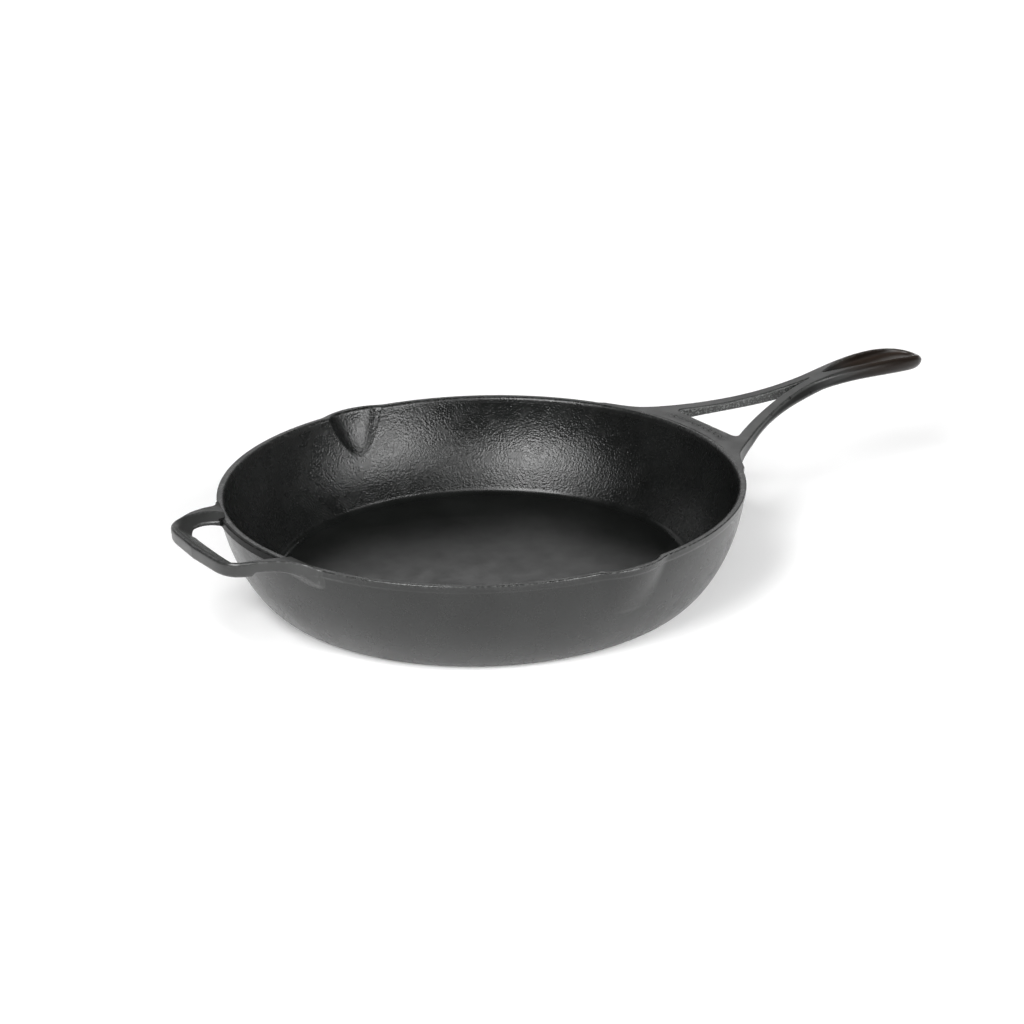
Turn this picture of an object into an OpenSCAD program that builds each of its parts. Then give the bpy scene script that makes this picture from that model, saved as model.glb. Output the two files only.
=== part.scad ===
// Cast iron skillet with two pour spouts, a forked long handle and a helper loop.
// The real pan is one casting. Each module below is one region of it, and the
// regions meet face to face. +X runs out along the long handle, +Z is up, and the
// origin is the centre of the base's underside. All sizes are in millimetres.

/* [Pan] */
// Outer radius of the rim
rim_r = 154; // [146:1:160]
// Height of the rim above the base
pan_h = 60; // [56:1:66]
// Radius of the flat base that stands on the stove
base_r = 124; // [118:1:127]
// Thickness of the wall just under the lip
wall_t = 4; // [3.5:0.1:4.6]
// Thickness of the cooking floor
floor_t = 4.5; // [4:0.1:6]
// How far the wall swells outwards between base and rim
wall_swell = 19; // [15:1:21]
// Facets around the pan in previews
smooth = 180; // [60:20:240]

/* [Lip] */
// Height of the band that stiffens the rim
lip_h = 4; // [3:0.5:5]
// Thickness of the lip at its top
lip_t = 4.4; // [4.2:0.1:5]
// How far the lip band stands proud of the wall
lip_proud = 0.3; // [0.1:0.1:0.6]
// Width and height of the bevel on the inner edge of the lip
lip_bevel = 1.6; // [0.8:0.2:2]
// Width and height of the small bevel on the outer edge of the lip
lip_edge = 0.6; // [0.3:0.1:1]

/* [Pour spouts] */
// Radius across the scoop of a spout
spout_r = 38; // [34:1:42]
// How far a spout stands out past the rim
spout_out = 4.2; // [3.4:0.2:4.6]
// Depth of a spout below the rim
spout_drop = 27; // [24:1:28]
// Lean of a spout's scoop away from upright, in degrees
spout_lean = 21; // [20.5:0.5:21.5]
// Half of the angle of rim that holds a spout, in degrees
spout_half_angle = 10; // [9.5:0.5:12]

/* [Long handle] */
// Distance from the pan's centre to the tip of the long handle
handle_reach = 336.5; // [330:0.5:345]
// Height of the top of the grip above the base
grip_top = 79.4; // [76:0.2:84]
// Half of the width of the grip at its widest
grip_half_w = 13.4; // [12:0.2:15]
// Half of the width of the waist where the two arms join
waist_half_w = 7.6; // [7:0.1:9]
// Distance from the pan's centre to the waist
waist_x = 244; // [240:1:248]
// Thickness of the grip over its rounded borders
grip_t = 13; // [11:0.5:14]
// Thickness of the grip under its recess
grip_core = 7; // [6:0.5:8]

/* [Fork gap] */
// Distance from the pan's centre to the pan side of the gap
gap_x = 164; // [163:0.5:167]
// Half of the width of the gap at its pan side
gap_half_w = 30; // [27:0.5:31]
// Number of raised pips along the yoke
pip_count = 9; // [5:2:11]
// Radius of one raised pip
pip_r = 1.2; // [0.8:0.1:1.4]
// Height of one raised pip
pip_h = 0.5; // [0.3:0.1:0.8]

/* [Helper loop] */
// Distance from the pan's centre to the outer side of the loop
loop_reach = 187; // [184:1:192]
// Half of the width of the loop across its outer corners
loop_half_w = 42; // [40:1:44]
// How far the loop rises above the rim
loop_rise = 5; // [3:0.5:6]
// Thickness of the loop's outer bar
bar_t = 9.5; // [8.5:0.5:11]
// Width of the outer bar, from its outer side to the hole
bar_w = 12.7; // [11.5:0.1:14]
// Width of the loop's arms
arm_w = 4.8; // [4:0.1:5.5]
// Thickness of the loop's arms
arm_t = 6.6; // [5.5:0.2:8]
// Depth of the slope in the top of the outer bar
bar_dish = 6; // [3:0.5:7]
// Height of the rough strip of rim behind the hole
strip_h = 5; // [3.5:0.5:6]
// How far that strip stands proud of the wall
strip_t = 1.2; // [0.6:0.1:2]

/* [Hidden] */

iron = "#2c2e2d";
iron_light = "#3a3d3b";
iron_dark = "#202221";

$fn = 64;
// Reach of the cutting boxes past the solids that they trim
past = 50;
// Segments in each curve of the pan's profile, its inner heel and the handles' outlines
profile_steps = 14;
heel_steps = 3;
outline_steps = 10;

lip_z = pan_h - lip_h;
heel_r = 119 * base_r / 124;
spout_z = pan_h - spout_drop - 3;
// How far out both handles' blanks start, inside the pan that is cut from them
root_x = 0.86 * rim_r;
// Where the arms, the neck and the grip meet
neck_x = 232;
grip_x = 256;
// Where the helper loop's bar meets its arms, and half of the width of its hole
bar_x = -168;
hole_half_w = loop_half_w - 2.5;

// Point on a cubic curve with four control points
function cubic(p, t) =
    pow(1 - t, 3) * p[0]
    + 3 * pow(1 - t, 2) * t * p[1]
    + 3 * (1 - t) * t * t * p[2]
    + pow(t, 3) * p[3];

// Points along a cubic curve, with the first left out so that curves can be chained
function curve(p, steps) = [for (i = [1:steps]) cubic(p, i / steps)];

// The same outline points on the other side of the X axis, in reverse order
function mirrored(points) = [for (i = [len(points) - 1:-1:0]) [points[i][0], -points[i][1]]];

// Outer and inner side of the pan in the plane of radius and height
function outer_side() = curve([
    [base_r, 0],
    [base_r + 7, 0],
    [base_r + 7 + wall_swell, 0.38 * pan_h],
    [rim_r - lip_proud, pan_h]
], profile_steps);
// The inner side turns up in a tight heel, then follows the flare of the wall
function inner_side() = concat(
    curve([
        [heel_r, floor_t],
        [heel_r + 2.5, floor_t],
        [heel_r + 3.1, floor_t + 0.5],
        [heel_r + 5, floor_t + 2]
    ], heel_steps),
    curve([
        [heel_r + 5, floor_t + 2],
        [heel_r + 15, floor_t + 10],
        [base_r + 3 + wall_swell, 0.44 * pan_h],
        [rim_r - lip_proud - wall_t, pan_h]
    ], profile_steps)
);

// Everything inside the outer surface of the pan
module pan_outside() {
    rotate_extrude($fn = smooth)
        polygon(concat([[0, 0], [base_r, 0]], outer_side(), [[0, pan_h]]));
}

// The hollow of the pan above the cooking floor
module pan_inside() {
    rotate_extrude($fn = smooth)
        polygon(concat([[0, floor_t], [heel_r, floor_t]], inner_side(), [[0, pan_h]]));
}

// Round band of the lip, with its bevels
module lip_ring() {
    rotate_extrude($fn = smooth)
        polygon([
            [rim_r - lip_t, lip_z],
            [rim_r, lip_z],
            [rim_r, pan_h - lip_edge],
            [rim_r - lip_edge, pan_h],
            [rim_r - lip_t + lip_bevel, pan_h],
            [rim_r - lip_t, pan_h - lip_bevel]
        ]);
}

// Wedge of space that holds one spout, from low up to high, at the +Y side
module spout_space(low, high) {
    reach = rim_r + past;
    half = reach * tan(spout_half_angle);
    translate([0, 0, low])
        linear_extrude(high - low)
            polygon([[0, 0], [half, reach], [-half, reach]]);
}

// Both wedges of space, one at each side of the pan
module both_spout_spaces(low, high) {
    for (side = [0, 180])
        rotate([0, 0, side])
            spout_space(low, high);
}

// Leaning cylinder whose far side is a spout's scoop, grown outwards by extra
module scoop(extra) {
    far_y = rim_r - lip_t + spout_out;
    translate([0, far_y - spout_r / cos(spout_lean), pan_h])
        rotate([-spout_lean, 0, 0])
            translate([0, 0, -2 * spout_drop])
                cylinder(r = spout_r + extra, h = 3 * spout_drop);
}

// Flat cooking floor with the base under it
module pan_floor() {
    color(iron_light)
        cylinder(r = heel_r, h = floor_t, $fn = smooth);
}

// Flared wall from the heel to the underside of the lip
module pan_wall() {
    color(iron)
        difference() {
            pan_outside();
            pan_inside();
            translate([0, 0, -past])
                cylinder(r = heel_r, h = past + pan_h, $fn = smooth);
            translate([0, 0, lip_z])
                cylinder(r = rim_r + past, h = past);
            both_spout_spaces(spout_z, pan_h + past);
        }
}

// Band around the rim, in two arcs between the spouts
module rim_lip() {
    color(iron_light)
        difference() {
            lip_ring();
            both_spout_spaces(0, pan_h + past);
        }
}

// Spout pressed out of the wall at the +Y side, with its own stretch of lip
module pour_spout() {
    difference() {
        intersection() {
            spout_space(spout_z, pan_h);
            union() {
                pan_outside();
                scoop(lip_t);
                lip_ring();
            }
        }
        pan_inside();
        translate([0, 0, lip_z])
            cylinder(r = rim_r - lip_t, h = past, $fn = smooth);
        scoop(0);
    }
}

module pour_spout_left() {
    color(iron_light)
        pour_spout();
}

module pour_spout_right() {
    color(iron_light)
        rotate([0, 0, 180])
            pour_spout();
}

// Half outline of the long handle from above, from the rim out to the tip
function handle_edge() = concat(
    [[root_x, 0], [root_x, 0.45 * rim_r], [137.3, 69.8]],
    curve([[137.3, 69.8], [143.7, 57.3], [151.6, 50.3], [158, 45.5]], outline_steps / 2),
    curve([[158, 45.5], [185.5, 25.4], [216, waist_half_w + 1], [waist_x, waist_half_w]], outline_steps),
    curve([
        [waist_x, waist_half_w],
        [waist_x + 18, waist_half_w],
        [waist_x + 38, grip_half_w],
        [handle_reach - 27, grip_half_w]
    ], outline_steps),
    curve([
        [handle_reach - 27, grip_half_w],
        [handle_reach - 12, grip_half_w],
        [handle_reach, 0.75 * grip_half_w],
        [handle_reach, 0]
    ], outline_steps)
);

// Half outline of the gap between the two arms
function gap_edge() = concat(
    [[gap_x, 0], [gap_x, gap_half_w - 3], [gap_x + 1, gap_half_w - 1], [gap_x + 2.5, gap_half_w - 0.6]],
    curve([
        [gap_x + 2.5, gap_half_w - 0.6],
        [gap_x + 24, 16],
        [gap_x + 50, 2.5],
        [waist_x, 0]
    ], outline_steps)
);

// Top and underside of the long handle in the plane of reach and height
function handle_top() = concat(
    [[root_x, pan_h]],
    curve([[150, pan_h], [200, pan_h + 2.3], [250, grip_top + 0.6], [298, grip_top]], outline_steps),
    curve([
        [298, grip_top],
        [handle_reach - 20, grip_top],
        [handle_reach - 3, grip_top - 3],
        [handle_reach, grip_top - 7]
    ], outline_steps / 2)
);
function handle_underside() = concat(
    [[handle_reach, grip_top - 7.5]],
    curve([
        [handle_reach, grip_top - 7.5],
        [handle_reach, grip_top - grip_t + 1],
        [handle_reach - 7, grip_top - grip_t],
        [handle_reach - 22, grip_top - grip_t]
    ], outline_steps / 2),
    curve([
        [handle_reach - 22, grip_top - grip_t],
        [290, grip_top - grip_t],
        [268, grip_top - grip_t + 1.6],
        [250, grip_top - grip_t - 0.4]
    ], outline_steps / 2),
    curve([[250, grip_top - grip_t - 0.4], [202, 58], [162, 58], [148, 46]], outline_steps),
    [[root_x, 46]]
);

// The whole long handle before it is parted into regions
module handle_blank() {
    difference() {
        intersection() {
            linear_extrude(2 * pan_h)
                polygon(concat(handle_edge(), mirrored(handle_edge())));
            rotate([90, 0, 0])
                translate([0, 0, -past * 2])
                    linear_extrude(past * 4)
                        polygon(concat(handle_top(), handle_underside()));
        }
        pan_outside();
        cylinder(r = rim_r, h = pan_h + past, $fn = smooth);
    }
}

// Plate of space above the outline of the gap
module gap_space() {
    linear_extrude(2 * pan_h)
        polygon(concat(gap_edge(), mirrored(gap_edge())));
}

// Block of space from x = from to x = to
module slab(from, to) {
    translate([from, -past * 2, 0])
        cube([to - from, past * 4, 2 * pan_h]);
}

// Web between the rim and the gap
module handle_yoke() {
    color(iron)
        intersection() {
            handle_blank();
            slab(0, gap_x);
        }
}

// One arm of the fork, at the +Y side for side = 1
module handle_arm(side) {
    intersection() {
        difference() {
            handle_blank();
            gap_space();
        }
        slab(gap_x, neck_x);
        translate([0, side > 0 ? 0 : -past * 2, 0])
            cube([2 * handle_reach, past * 2, 2 * pan_h]);
    }
}

module handle_arm_left() {
    color(iron_light)
        handle_arm(1);
}

module handle_arm_right() {
    color(iron_light)
        handle_arm(-1);
}

// Waist where the arms come together
module handle_neck() {
    color(iron)
        difference() {
            intersection() {
                handle_blank();
                slab(neck_x, grip_x);
            }
            gap_space();
        }
}

// Spoon-shaped recess in the top of the grip
module grip_recess() {
    recess_x = grip_x + 4;
    recess_end = handle_reach - 7;
    recess_half_w = grip_half_w - 3.6;
    half = concat(
        [[recess_x, 0]],
        curve([
            [recess_x, 0],
            [recess_x + 16, 0.7 * recess_half_w],
            [recess_x + 34, recess_half_w],
            [recess_end - 14, recess_half_w]
        ], outline_steps),
        curve([
            [recess_end - 14, recess_half_w],
            [recess_end - 4, recess_half_w],
            [recess_end, 0.5 * recess_half_w],
            [recess_end, 0]
        ], outline_steps / 2)
    );
    translate([0, 0, grip_top - grip_t + grip_core])
        linear_extrude(past)
            polygon(concat(half, mirrored(half)));
}

// Rounded grip with its recess
module handle_grip() {
    keel_r = 28;
    crown_r = 55;
    color(iron_light)
        difference() {
            intersection() {
                handle_blank();
                slab(grip_x, handle_reach + past);
                translate([grip_x - past, 0, grip_top - grip_t + keel_r])
                    rotate([0, 90, 0])
                        cylinder(r = keel_r, h = 4 * past);
                translate([grip_x - past, 0, grip_top - crown_r])
                    rotate([0, 90, 0])
                        cylinder(r = crown_r, h = 4 * past);
            }
            grip_recess();
        }
}

// Row of raised pips that follows the rim along the yoke
module yoke_pips() {
    row_r = rim_r + 5;
    angle_step = 2;
    color(iron_dark)
        for (i = [0:pip_count - 1])
            rotate([0, 0, (i - (pip_count - 1) / 2) * angle_step])
                translate([row_r, 0, pan_h])
                    cylinder(r = pip_r, h = pip_h, $fn = 24);
}

// Half outline of the helper loop from above, from the rim out to the bar
function loop_edge() = concat(
    [[-root_x, 0], [-root_x, 0.44 * rim_r], [-141, 62]],
    curve([
        [-141, 62],
        [-144.5, loop_half_w + 11.5],
        [-150, loop_half_w + 8.5],
        [-157, loop_half_w + 5.8]
    ], outline_steps / 2),
    curve([
        [-157, loop_half_w + 5.8],
        [-165, loop_half_w + 2.6],
        [-loop_reach + 15, loop_half_w + 0.5],
        [-loop_reach + 9, loop_half_w - 3]
    ], outline_steps / 2),
    curve([
        [-loop_reach + 9, loop_half_w - 3],
        [-loop_reach + 3.5, loop_half_w - 6.5],
        [-loop_reach + 1.5, loop_half_w - 12],
        [-loop_reach + 1, loop_half_w - 20]
    ], outline_steps / 2),
    [[-loop_reach, 0]]
);

// Half outline of the hole through the loop
function hole_edge() = concat(
    [[-loop_reach + bar_w, 0]],
    curve([
        [-loop_reach + bar_w, 0],
        [-loop_reach + bar_w, 0.5 * hole_half_w],
        [-loop_reach + bar_w + 1, 0.8 * hole_half_w],
        [-loop_reach + bar_w + 5.5, hole_half_w - 2.5]
    ], outline_steps / 2),
    curve([
        [-loop_reach + bar_w + 5.5, hole_half_w - 2.5],
        [-loop_reach + bar_w + 11, hole_half_w + 1.5],
        [-loop_reach + bar_w + 19, loop_half_w + 5.8 - arm_w],
        [-150, hole_half_w]
    ], outline_steps / 2),
    [[-147, hole_half_w - 4], [-140, 0]]
);

// The loop from the side, seen in the plane of reach and height
function loop_side() = concat(
    [[-root_x, pan_h]],
    curve([
        [-146, pan_h],
        [-153, pan_h + 0.7 * loop_rise],
        [-160, pan_h + loop_rise],
        [-172, pan_h + loop_rise]
    ], outline_steps / 2),
    [
        [-loop_reach + 1.5, pan_h + loop_rise - 0.5],
        [-loop_reach, pan_h + loop_rise - 2],
        [-loop_reach, pan_h + loop_rise - bar_t + 5],
        [-loop_reach + 4, pan_h + loop_rise - bar_t],
        [bar_x - 1.5, pan_h + loop_rise - bar_t],
        [bar_x, pan_h + loop_rise - arm_t]
    ],
    curve([
        [bar_x, pan_h + loop_rise - arm_t],
        [-160, pan_h + loop_rise - arm_t],
        [-150, pan_h - 3],
        [-142, pan_h - 10]
    ], outline_steps / 2),
    [[-root_x, pan_h - 10]]
);

// Slope that falls from the crest of the outer bar to the hole
module bar_slope() {
    crest_x = -loop_reach + 2.5;
    half = loop_half_w - 7;
    translate([0, half, 0])
        rotate([90, 0, 0])
            linear_extrude(2 * half)
                polygon([
                    [crest_x, pan_h + loop_rise],
                    [-loop_reach + bar_w, pan_h + loop_rise - bar_dish],
                    [-root_x, pan_h + loop_rise - bar_dish],
                    [-root_x, pan_h + past],
                    [crest_x, pan_h + past]
                ]);
}

// The whole helper loop before it is parted into regions
module loop_blank() {
    difference() {
        intersection() {
            linear_extrude(2 * pan_h)
                polygon(concat(loop_edge(), mirrored(loop_edge())));
            translate([0, past * 2, 0])
                rotate([90, 0, 0])
                    linear_extrude(past * 4)
                        polygon(loop_side());
        }
        linear_extrude(2 * pan_h)
            polygon(concat(hole_edge(), mirrored(hole_edge())));
        bar_slope();
        pan_outside();
        cylinder(r = rim_r, h = pan_h + past, $fn = smooth);
    }
}

// Outer bar of the loop
module helper_bar() {
    color(iron_light)
        intersection() {
            loop_blank();
            slab(-2 * rim_r, bar_x);
        }
}

// One side of the loop, at the +Y side for side = 1
module helper_arm(side) {
    intersection() {
        loop_blank();
        slab(bar_x, 0);
        translate([-2 * rim_r, side > 0 ? 0 : -past * 2, 0])
            cube([2 * rim_r, past * 2, 2 * pan_h]);
    }
}

module helper_arm_left() {
    color(iron)
        helper_arm(1);
}

module helper_arm_right() {
    color(iron)
        helper_arm(-1);
}

// Rough strip of rim behind the loop's hole
module helper_strip() {
    color(iron_dark)
        difference() {
            intersection() {
                translate([0, 0, pan_h - strip_h])
                    cylinder(r = rim_r + strip_t, h = strip_h - lip_edge, $fn = smooth);
                linear_extrude(2 * pan_h)
                    polygon(concat(hole_edge(), mirrored(hole_edge())));
            }
            pan_outside();
            cylinder(r = rim_r, h = pan_h + past, $fn = smooth);
        }
}

pan_floor();
pan_wall();
rim_lip();
pour_spout_left();
pour_spout_right();
handle_yoke();
handle_arm_left();
handle_arm_right();
handle_neck();
handle_grip();
yoke_pips();
helper_bar();
helper_arm_left();
helper_arm_right();
helper_strip();
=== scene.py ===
"""Cast iron skillet: one casting, shown as the regions that its CAD nodes stand for.

The pan is a lathed grid whose two walls bulge out into the spouts. The long handle and the helper loop are closed
surfaces of distance fields, so that their edges are rounded and flow into the wall as on a real casting.
Lengths in this file are in millimetres until the meshes are made, which are in metres.
"""

import math

import bmesh
import bpy
import numpy as np
from mathutils import Matrix, Vector


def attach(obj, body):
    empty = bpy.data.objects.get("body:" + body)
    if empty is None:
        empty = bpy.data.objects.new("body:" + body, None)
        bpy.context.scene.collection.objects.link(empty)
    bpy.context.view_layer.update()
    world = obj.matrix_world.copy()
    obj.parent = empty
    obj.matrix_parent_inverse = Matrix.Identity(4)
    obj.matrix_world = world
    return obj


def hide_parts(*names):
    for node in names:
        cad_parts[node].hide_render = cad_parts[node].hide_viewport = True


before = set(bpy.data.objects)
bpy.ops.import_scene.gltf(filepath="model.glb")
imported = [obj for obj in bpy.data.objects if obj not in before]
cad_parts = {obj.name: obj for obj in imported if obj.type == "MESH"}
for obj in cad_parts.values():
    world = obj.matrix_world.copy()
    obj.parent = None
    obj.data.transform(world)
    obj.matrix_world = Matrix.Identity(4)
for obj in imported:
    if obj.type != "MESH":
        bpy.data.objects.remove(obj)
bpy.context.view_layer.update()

MM = 0.001

# ---------------------------------------------------------------- sizes of the pan
RIM_R = 154.0
PAN_H = 60.0
BASE_R = 124.0
HEEL_R = 119.0
FLOOR_T = 4.5
LIP_PROUD = 0.3
LIP_Z = 56.0
LIP_INNER_ROUND = 1.9
LIP_OUTER_ROUND = 0.7
LAND_MID_R = 152.6

# each spout's region of the pan, and the depth of its trough inside the wall
SPOUT_HALF_ANGLE = math.radians(10.0)
SPOUT_CUT_Z = 30.0
SPOUT_LOW_Z = 32.0
SPOUT_HALF_WIDTH = math.radians(7.4)
SPOUT_DEPTH = 4.1
SPOUT_STEEPNESS = 2.3
# its round bulge outside the wall: how far it stands out, and its own radius
SPOUT_BULGE = 4.65
SPOUT_BULGE_R = 39.9
SPOUT_REACH = 0.25


def cubic(p0, p1, p2, p3, steps):
    """Points along a cubic curve, the first left out so that curves can be chained."""
    t = (np.arange(steps) + 1)[:, None] / steps
    p0, p1, p2, p3 = (np.array(p, float) for p in (p0, p1, p2, p3))
    return (1 - t) ** 3 * p0 + 3 * (1 - t) ** 2 * t * p1 + 3 * (1 - t) * t * t * p2 + t**3 * p3


def chain(start, *curves, steps=60):
    """A start point and the curves that follow it, each given by its three further control points."""
    points = [np.array([start], float)]
    for c in curves:
        if len(c) == 1:
            points.append(np.array(c, float))
        else:
            points.append(cubic(points[-1][-1], *c, steps))
    return np.concatenate(points)


def smooth_step(x, low, high):
    """0 below low and 1 above high, with a smooth rise between them."""
    t = np.clip((x - low) / (high - low), 0, 1)
    return t * t * (3 - 2 * t)


def soft_max(a, b, k):
    """Larger of a and b, rounded over a width of k."""
    h = np.maximum(k - np.abs(a - b), 0) / k
    return np.maximum(a, b) + h * h * k / 4


def round_and(a, b, r):
    """Field of the overlap of two solids, with its edge rounded to radius r."""
    return np.minimum(-r, np.maximum(a, b)) + np.hypot(np.maximum(r + a, 0), np.maximum(r + b, 0))


def round_or(a, b, r):
    """Field of two solids together, with a fillet of radius r between them."""
    return np.maximum(r, np.minimum(a, b)) - np.hypot(np.maximum(r - a, 0), np.maximum(r - b, 0))


def round_cut(a, b, r):
    """Field of solid a with solid b cut out of it, its edge rounded to radius r."""
    return round_and(a, -b, r)


# ---------------------------------------------------------------- profile of the pan
OUTER_SIDE = chain((BASE_R, 0), [(131, 0), (150, 22.8), (153.7, PAN_H)], steps=400)
INNER_SIDE = chain(
    (HEEL_R, FLOOR_T),
    [(121.5, FLOOR_T), (122.6, 5.0), (124, 6.5)],
    [(133.6, 16.8), (145.6, 27.5), (149.7, PAN_H)],
    steps=300,
)


def outer_r(z):
    """Radius of the outer wall at height z, with the lip band that stands proud at its top."""
    return np.interp(z, OUTER_SIDE[:, 1], OUTER_SIDE[:, 0]) + LIP_PROUD * smooth_step(z, LIP_Z - 0.6, LIP_Z + 0.4)


def inner_r(z):
    """Radius of the inner wall at height z, away from the spouts."""
    return np.interp(z, INNER_SIDE[:, 1], INNER_SIDE[:, 0])


def scoop_r(turn, z, wall_r, depth, radius):
    """Radius of a spout's round bulge at an angle of turn from its middle, where it is depth past the wall's rim."""
    rise = (z - SPOUT_LOW_Z) / (PAN_H - SPOUT_LOW_Z)
    far = wall_r + depth * np.where(rise > 0, rise, 3.0 * rise)
    middle = far - radius
    return middle * np.cos(turn) + np.sqrt(radius**2 - (middle * np.sin(turn)) ** 2)


def from_spout(angle):
    """Angle from the nearer of the two spouts, which are at +Y and -Y."""
    return (angle + math.pi) % math.pi - math.pi / 2


def outer_wall(angle, z):
    """Radius of the outer wall, with each spout as a round bulge."""
    turn = np.clip(from_spout(angle), -SPOUT_REACH, SPOUT_REACH)
    r = outer_r(z)
    return soft_max(r, scoop_r(turn, z, r, SPOUT_BULGE, SPOUT_BULGE_R), 1.4)


def inner_wall(angle, z):
    """Radius of the inner wall, with each spout scooped out of it: steep at its edges and flatter in its middle."""
    turn = np.clip(from_spout(angle), -SPOUT_REACH, SPOUT_REACH)
    r = inner_r(z)
    rise = (z - SPOUT_LOW_Z) / (PAN_H - SPOUT_LOW_Z)
    share = rise - (turn / SPOUT_HALF_WIDTH) ** 2
    inside = 1 - (1 - np.clip(share, 0, 1)) ** SPOUT_STEEPNESS
    scoop = SPOUT_DEPTH * np.where(share > 0, inside, SPOUT_STEEPNESS * share)
    return soft_max(r, r + scoop, 0.5)


def spaced_angles():
    """Angles once round the pan, closer together at the two spouts."""
    fine, coarse = math.radians(0.3), math.radians(0.6)
    half = math.radians(13)
    n_fine = 2 * round(half / fine)
    n_coarse = round((math.pi - 2 * half) / coarse)
    one = np.concatenate([
        np.linspace(-half, half, n_fine, endpoint=False),
        np.linspace(half, math.pi - half, n_coarse, endpoint=False),
    ])
    return np.concatenate([one + math.pi / 2, one + 3 * math.pi / 2])


ANGLES = spaced_angles()
# heights of the rows that the two walls share
WALL_Z = np.concatenate([
    np.array([8.0, 9.2, 10.4, 11.8, 13.2, 14.6]),
    np.linspace(16, SPOUT_CUT_Z, 13),
    np.linspace(SPOUT_CUT_Z, 54.6, 26)[1:],
    np.array([55.2, 55.6, LIP_Z, 56.6, 57.3]),
])
# rows below them, the first few on the flat base, and rows above them, over the rim's rounding and its flat land
LOW_ROWS = 14
FLAT_ROWS = 4
ROUND_STEPS = 6
LAND_STEPS = 2
TOP_ROWS = 1 + ROUND_STEPS + LAND_STEPS


def pan_grids():
    """Outer and inner surface points over (angle, row). The last row of both is the middle of the rim's flat top."""
    angle = ANGLES[:, None]
    outer, inner = [], []

    def add(rows, r, z):
        r = np.broadcast_to(r, angle.shape)
        z = np.full(angle.shape, float(z))
        rows.append(np.concatenate([r * np.cos(angle), r * np.sin(angle), z], 1))

    # underside and cooking floor out from the heel, then both walls up to the shared rows
    flat_r = np.linspace(HEEL_R, BASE_R - 1.5, FLAT_ROWS)
    low_z = WALL_Z[0] * np.linspace(0, 1, LOW_ROWS - FLAT_ROWS + 1)[:-1] ** 1.6
    for k in range(LOW_ROWS):
        if k < FLAT_ROWS:
            add(outer, flat_r[k], 0.0)
        else:
            z = low_z[k - FLAT_ROWS]
            # the first one is drawn in, to soften the base's edge
            add(outer, outer_r(z) - (0.5 if k == FLAT_ROWS else 0.0), z)
        zi = FLOOR_T + (WALL_Z[0] - FLOOR_T) * (k / LOW_ROWS) ** 2.2
        add(inner, inner_r(zi) if k else HEEL_R, zi)
    for z in WALL_Z:
        add(outer, outer_wall(angle, z), z)
        add(inner, inner_wall(angle, z), z)
    # over the rim: a small round outside, a larger one inside, and the flat land between them
    middle = outer_wall(angle, PAN_H) - (RIM_R - LAND_MID_R)
    for k in range(TOP_ROWS):
        turn = math.pi / 2 * min(k, ROUND_STEPS) / ROUND_STEPS
        z = PAN_H - LIP_OUTER_ROUND * (1 - math.sin(turn))
        r = outer_wall(angle, z) - LIP_OUTER_ROUND * (1 - math.cos(turn))
        zi = PAN_H - LIP_INNER_ROUND * (1 - math.sin(turn))
        ri = inner_wall(angle, zi) + LIP_INNER_ROUND * (1 - math.cos(turn))
        if k > ROUND_STEPS:
            share = (k - ROUND_STEPS) / LAND_STEPS
            r = r + (middle - r) * share
            ri = ri + (middle - ri) * share
        add(outer, r, z)
        add(inner, ri, zi)
    return np.stack(outer, 1), np.stack(inner, 1)


OUTER, INNER = pan_grids()
N_ROWS = OUTER.shape[1]
LIP_ROW = LOW_ROWS + int(np.argmin(np.abs(WALL_Z - LIP_Z)))
CUT_ROW = LOW_ROWS + int(np.argmin(np.abs(WALL_Z - SPOUT_CUT_Z)))


def grid_normals(p, flip):
    """Normal at each point of a grid that wraps round in its first index."""
    along = np.roll(p, -1, 0) - np.roll(p, 1, 0)
    up = np.empty_like(p)
    up[:, 1:-1] = p[:, 2:] - p[:, :-2]
    up[:, 0] = p[:, 1] - p[:, 0]
    up[:, -1] = p[:, -1] - p[:, -2]
    n = np.cross(along, up)
    n /= np.maximum(np.linalg.norm(n, axis=2, keepdims=True), 1e-12)
    return -n if flip else n


OUTER_N = grid_normals(OUTER, False)
INNER_N = grid_normals(INNER, True)
UP = np.array([0.0, 0.0, 1.0])
OUTER_N[:, -LAND_STEPS:] = UP
INNER_N[:, -LAND_STEPS:] = UP
OUTER_N[:, :FLAT_ROWS] = -UP
INNER_N[:, 0] = UP


# ---------------------------------------------------------------- from arrays to Blender objects
def set_attribute(mesh, name, values):
    """Stores one number for each vertex, for the materials to read."""
    attribute = mesh.attributes.new(name, "FLOAT", "POINT")
    attribute.data.foreach_set("value", np.asarray(values, np.float32))


def make_piece(name, points, faces, normals, nodes, attributes):
    """A closed mesh with its own normals, riding on the body and standing for its CAD nodes."""
    mesh = bpy.data.meshes.new(name)
    mesh.from_pydata((np.asarray(points) * MM).tolist(), [], [list(map(int, f)) for f in faces])
    mesh.validate(clean_customdata=False)
    for key, values in attributes.items():
        if len(values) == len(mesh.vertices):
            set_attribute(mesh, key, values)
    mesh.polygons.foreach_set("use_smooth", [True] * len(mesh.polygons))
    if len(normals) == len(mesh.vertices):
        mesh.normals_split_custom_set_from_vertices(np.asarray(normals, float).tolist())
    mesh.update()
    piece = bpy.data.objects.new(name, mesh)
    bpy.context.scene.collection.objects.link(piece)
    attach(piece, "root")
    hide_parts(*nodes)
    return piece


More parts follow.
